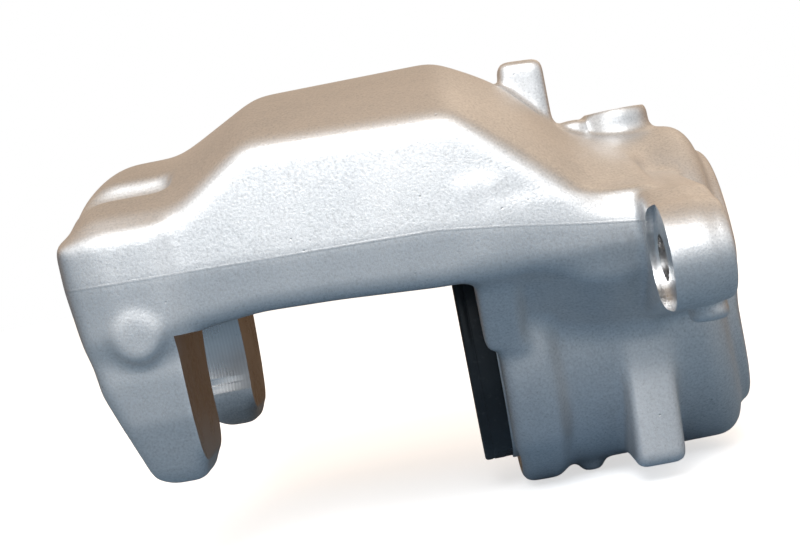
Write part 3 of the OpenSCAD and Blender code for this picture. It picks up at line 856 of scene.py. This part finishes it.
FOOT_R = SPIGOT_R - 0.95
boot = lathe("boot", [
    *arc(0.7, BOOT_R - 0.7, 0.7, 180, 90, 8), (1.6, BOOT_R), (1.85, BOOT_R - 0.14),
    (2.1, BOOT_R - 0.14), (2.25, BOOT_R), (3.2, BOOT_R),
    (4.2, BOOT_R), (4.7, BOOT_R - 0.05), *[(5.0 + 0.1 * k, BOOT_R - 0.08) for k in range(13)],
    (6.3, BOOT_R - 0.1), (6.35, FOOT_R), (8.4, FOOT_R), *arc(10.3, FOOT_R - 0.25, 0.25, 90, 0, 4),
    (10.55, FOOT_R - 1.0), (10.3, FOOT_R - 1.2), (6.6, FOOT_R - 1.2),
    *[(6.2 - 0.1 * k, FOOT_R - 1.0) for k in range(13)], (4.6, FOOT_R - 0.75), (1.7, FOOT_R - 0.75),
    *arc(1.7, FOOT_R - 1.05, 0.3, 90, 180, 4), (1.3, 30.3), *arc(1.7, 30.2, 0.3, 180, 270, 4),
    (4.6, 29.9), (4.8, 29.6), (4.8, 27.0), (4.6, 26.7), (3.0, 26.7), (2.75, 27.0), (2.75, 28.8),
    *arc(1.2, 30.0, 1.2, 270, 180, 5),
], RING_TURNS)
boot.data.materials.append(
    moulded("boot_rubber", (0.006, 0.007, 0.008), (0.016, 0.018, 0.02), (0.24, 0.42), 700, 0.00004))
piece(boot, "piston_boot", None, "dust_boot")
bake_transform(boot)


def wire_ring(name, radius, at_x, wire, gap_degrees):
    """An open ring of round wire about the piston's axis, with rounded ends."""
    turns = 160
    half = math.radians(gap_degrees / 2)
    way = np.linspace(-math.pi / 2 + half, 1.5 * math.pi - half, turns)
    thin = np.full(turns, wire)
    thin[[0, -1]], thin[[1, -2]] = 0.02, wire * 0.8
    around = np.arange(12) * math.pi / 6
    points = np.stack([
        at_x + thin[:, None] * np.cos(around),
        (radius + thin[:, None] * np.sin(around)) * np.cos(way)[:, None],
        (radius + thin[:, None] * np.sin(around)) * np.sin(way)[:, None],
    ], 2).reshape(-1, 3)
    faces = [
        (k * 12 + i, k * 12 + (i + 1) % 12, (k + 1) * 12 + (i + 1) % 12, (k + 1) * 12 + i)
        for k in range(turns - 1) for i in range(12)
    ]
    return build_mesh(name, points, np.array(faces))


clip = wire_ring("clip", FOOT_R - 1.2 - 0.85, 9.7, 0.78, 10)
clip.data.materials.append(steel("spring_steel", 0.42, 0.58, 0.0, (0.22, 0.42)))
piece(clip, "boot_clip", "housing", "boot_retaining_ring", 60)

# ---------------------------------------------------------------- bleed screw and cap
SHANK_END, NIPPLE_END = BLEED_SEAT - BLEED_SHANK, BLEED_SEAT + 14
HEX_Z, HEX_H = BLEED_SEAT + 1, 5.0
NIPPLE_Z = HEX_Z + HEX_H
TO_BLEED = (
    Matrix.Translation((INLET.x, 0, 0)) @ BLEED_WAY @ Matrix.Rotation(-math.pi / 2, 4, "Y")
)


AROUND = 96  # points around each small turned piece


def spun(name, rows):
    """A turned piece about x whose radius may vary around it: rows of (x, radius or radii)."""
    segments = AROUND
    turns = np.arange(segments) * 2 * math.pi / segments
    x = np.concatenate([np.broadcast_to(row[0], segments) for row in rows])
    r = np.concatenate([np.broadcast_to(row[1], segments) for row in rows])
    turn = np.tile(turns, len(rows))
    points = np.stack([x, r * np.cos(turn), r * np.sin(turn)], 1)
    faces = [
        (j * segments + i, j * segments + (i + 1) % segments,
         (j + 1) * segments + (i + 1) % segments, (j + 1) * segments + i)
        for j in range(len(rows) - 1) for i in range(segments)
    ]
    return build_mesh(name, points, np.array(faces))


def bleed_rows():
    """The bleed screw's thread, hexagon and barbed nipple, from its cone outwards."""
    turns = np.arange(AROUND) * 2 * math.pi / AROUND
    flats = 5.0 / np.cos((turns % (math.pi / 3)) - math.pi / 6)
    rows = [(SHANK_END - 3.05, 0.3), (SHANK_END - 3.05, 1.75), (SHANK_END + 0.1, 4.4)]
    for w in np.arange(SHANK_END + 0.3, HEX_Z - 0.6, 0.16):
        wave = np.abs(((w / 1.25 - turns / (2 * math.pi)) % 1.0) * 2 - 1)
        rows.append((w, 4.28 + 0.58 * np.clip(wave * 1.3 - 0.1, 0, 1)))
    rows += [(HEX_Z - 0.45, 4.2), (HEX_Z, 4.2)]
    for w in (0.0, 0.25, 0.5, 0.75, 2.5, 4.25, 4.5, 4.75, 5.0):
        limit = 5.05 + 1.75 * min(w, HEX_H - w)
        rows.append((HEX_Z + w, np.minimum(flats, limit)))
    rows += [
        (NIPPLE_Z, 3.6), (NIPPLE_Z + 0.5, 3.15), (NIPPLE_Z + 4.6, 3.1), (NIPPLE_Z + 5.0, 3.7),
        (NIPPLE_Z + 5.3, 3.7), (NIPPLE_END - 0.7, 3.0), (NIPPLE_END - 0.25, 2.75),
        (NIPPLE_END, 2.4), (NIPPLE_END, 1.35), (NIPPLE_END - 0.3, 1.1), (SHANK_END + 2, 1.1),
        (SHANK_END + 1.5, 0.02),
    ]
    return rows


screw = spun("screw", bleed_rows())
screw.data.materials.append(steel("plated_steel", 0.5, 0.68, 0.07, (0.24, 0.45)))
screw.data.transform(TO_BLEED)
piece(screw, "bleed_valve", "bleed_screw", "bleed_screw", 28)

CAP_Z, CAP_TOP = NIPPLE_Z + 0.3, NIPPLE_END + 1.7
cap = spun("cap", [
    (CAP_Z + 8.0, 0.02), (CAP_Z + 8.0, 3.8), (CAP_Z, 3.8), (CAP_Z, 5.4), (CAP_Z + 0.2, 5.75),
    (CAP_Z + 1.6, 5.75), (CAP_Z + 1.9, 5.5), (CAP_Z + 2.3, 5.15), (CAP_Z + 4.2, 5.1),
    (CAP_Z + 4.4, 5.2), (CAP_Z + 4.9, 5.2), (CAP_Z + 5.1, 5.1), (CAP_Z + 5.9, 5.1),
    (CAP_Z + 6.1, 5.2), (CAP_Z + 6.6, 5.2), (CAP_Z + 6.8, 5.05), (CAP_TOP - 1.7, 4.95),
    (CAP_TOP - 0.9, 4.6), (CAP_TOP - 0.4, 4.0), (CAP_TOP - 0.1, 3.0), (CAP_TOP, 1.6),
    (CAP_TOP, 0.02),
])
cap.data.materials.append(
    moulded("cap_rubber", (0.018, 0.018, 0.019), (0.045, 0.045, 0.045), (0.55, 0.75), 800, 0.00005))
cap.data.transform(TO_BLEED)
piece(cap, "bleed_cap", "bleed_screw_cap", "bleed_screw_cap", 40)

# ---------------------------------------------------------------- stage, camera, lights
CAMERA_AT = Vector((-1, -341.5, 25.4))
LOOK = Vector((-0.0306, 1, -0.0334)).normalized()
ROLL = math.radians(11)
UP = Vector((math.sin(ROLL), 0, math.cos(ROLL)))


def set_camera():
    data = bpy.data.cameras.new("camera")
    data.lens, data.sensor_width = 65.7, 36
    data.clip_start, data.clip_end = 0.01, 50
    cam = bpy.data.objects.new("camera", data)
    right = LOOK.cross(UP).normalized()
    up = right.cross(LOOK)
    turn = Matrix((right, up, -LOOK)).transposed().to_4x4()
    at = (CAMERA_AT + Vector((RIM_X, 0, AXIS_Z))) * MM
    cam.matrix_world = Matrix.Translation(at) @ turn
    bpy.context.scene.collection.objects.link(cam)
    bpy.context.scene.camera = cam


def softbox(name, at, aim, size, watts, colour):
    data = bpy.data.lights.new(name, "AREA")
    data.shape, data.size, data.energy, data.color = "SQUARE", size, watts, colour
    lamp = bpy.data.objects.new(name, data)
    lamp.location = at
    lamp.rotation_euler = (Vector(aim) - Vector(at)).to_track_quat("-Z", "Y").to_euler()
    bpy.context.scene.collection.objects.link(lamp)


def floor_material():
    """White underfoot. What the metal mirrors of it is blue in front and brown behind."""
    s = Surface("floor_white", Roughness=0.9, Metallic=0.0)
    y = s.node("ShaderNodeSeparateXYZ", {"Vector": s.place}).outputs["Y"]
    mirrored = s.mix(s.span(y, 0.0, 0.25), (0.15, 0.23, 0.32, 1), (0.07, 0.036, 0.012, 1))
    seen = s.node("ShaderNodeLightPath").outputs["Is Camera Ray"]
    colour = s.mix(seen, mirrored, (0.9, 0.9, 0.9, 1))
    s.shader.inputs["Emission Color"].default_value = (1, 1, 1, 1)
    return s.finish(Base_Color=colour, Emission_Strength=s.math("MULTIPLY", seen, 0.62))


def set_world():
    """A soft studio: white in front, warm above and behind, cool low down."""
    world = bpy.data.worlds.new("studio")
    bpy.context.scene.world = world
    world.use_nodes = True
    tree = world.node_tree
    back = tree.nodes["Background"]
    way = tree.nodes.new("ShaderNodeTexCoord").outputs["Generated"]

    def dot(direction):
        node = tree.nodes.new("ShaderNodeVectorMath")
        node.operation = "DOT_PRODUCT"
        tree.links.new(way, node.inputs[0])
        node.inputs[1].default_value = direction
        return node.outputs["Value"]

    def ramp(value, stops):
        node = tree.nodes.new("ShaderNodeValToRGB")
        tree.links.new(value, node.inputs["Fac"])
        elements = node.color_ramp.elements
        while len(elements) < len(stops):
            elements.new(0.5)
        for element, (at, colour) in zip(elements, stops):
            element.position, element.color = at * 0.5 + 0.5, (*colour, 1)
        return node.outputs["Color"]

    def half(value):
        node = tree.nodes.new("ShaderNodeMath")
        node.operation = "MULTIPLY_ADD"
        tree.links.new(value, node.inputs[0])
        node.inputs[1].default_value = node.inputs[2].default_value = 0.5
        return node.outputs[0]

    def mix(factor, a, b):
        node = tree.nodes.new("ShaderNodeMix")
        node.data_type = "RGBA"
        for socket, value in ((0, factor), (6, a), (7, b)):
            if isinstance(value, bpy.types.NodeSocket):
                tree.links.new(value, node.inputs[socket])
            else:
                node.inputs[socket].default_value = value
        return node.outputs[2]

    height = half(dot(UP))
    front = ramp(height, [
        (-1.0, (0.05, 0.08, 0.12)), (-0.12, (0.12, 0.19, 0.27)), (0.0, (0.2, 0.28, 0.37)),
        (0.15, (0.92, 0.96, 1.0)), (0.5, (1.02, 1.02, 1.02)), (0.95, (0.54, 0.41, 0.29)),
    ])
    behind = ramp(height, [
        (-1.0, (0.05, 0.03, 0.015)), (0.0, (0.06, 0.03, 0.011)), (0.1, (0.32, 0.20, 0.115)),
        (0.3, (0.54, 0.365, 0.225)), (1.0, (0.56, 0.405, 0.27)),
    ])
    side = ramp(half(dot((0, 1, 0))), [(-0.25, (0, 0, 0)), (0.3, (1, 1, 1))])
    seen = tree.nodes.new("ShaderNodeLightPath").outputs["Is Camera Ray"]
    tree.links.new(mix(seen, mix(side, front, behind), (1.0, 1.0, 1.0, 1)), back.inputs["Color"])
    back.inputs["Strength"].default_value = 1.0


set_camera()
floor_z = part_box("housing")[0][2]
floor = solid_of("floor", lambda bm: bmesh.ops.create_circle(
    bm, cap_ends=True, segments=96, radius=3, matrix=Matrix.Translation((0, 0, floor_z))))
floor.data.materials.append(floor_material())
set_world()
softbox("key", (-0.1, -0.8, 0.6), (0, 0, 0), 0.45, 6.5, (0.97, 0.985, 1))
softbox("rim", (0.35, 0.55, 0.6), (0, 0, 0), 0.5, 0.4, (1, 0.84, 0.68))
bpy.context.scene.view_settings.view_transform = "Standard"
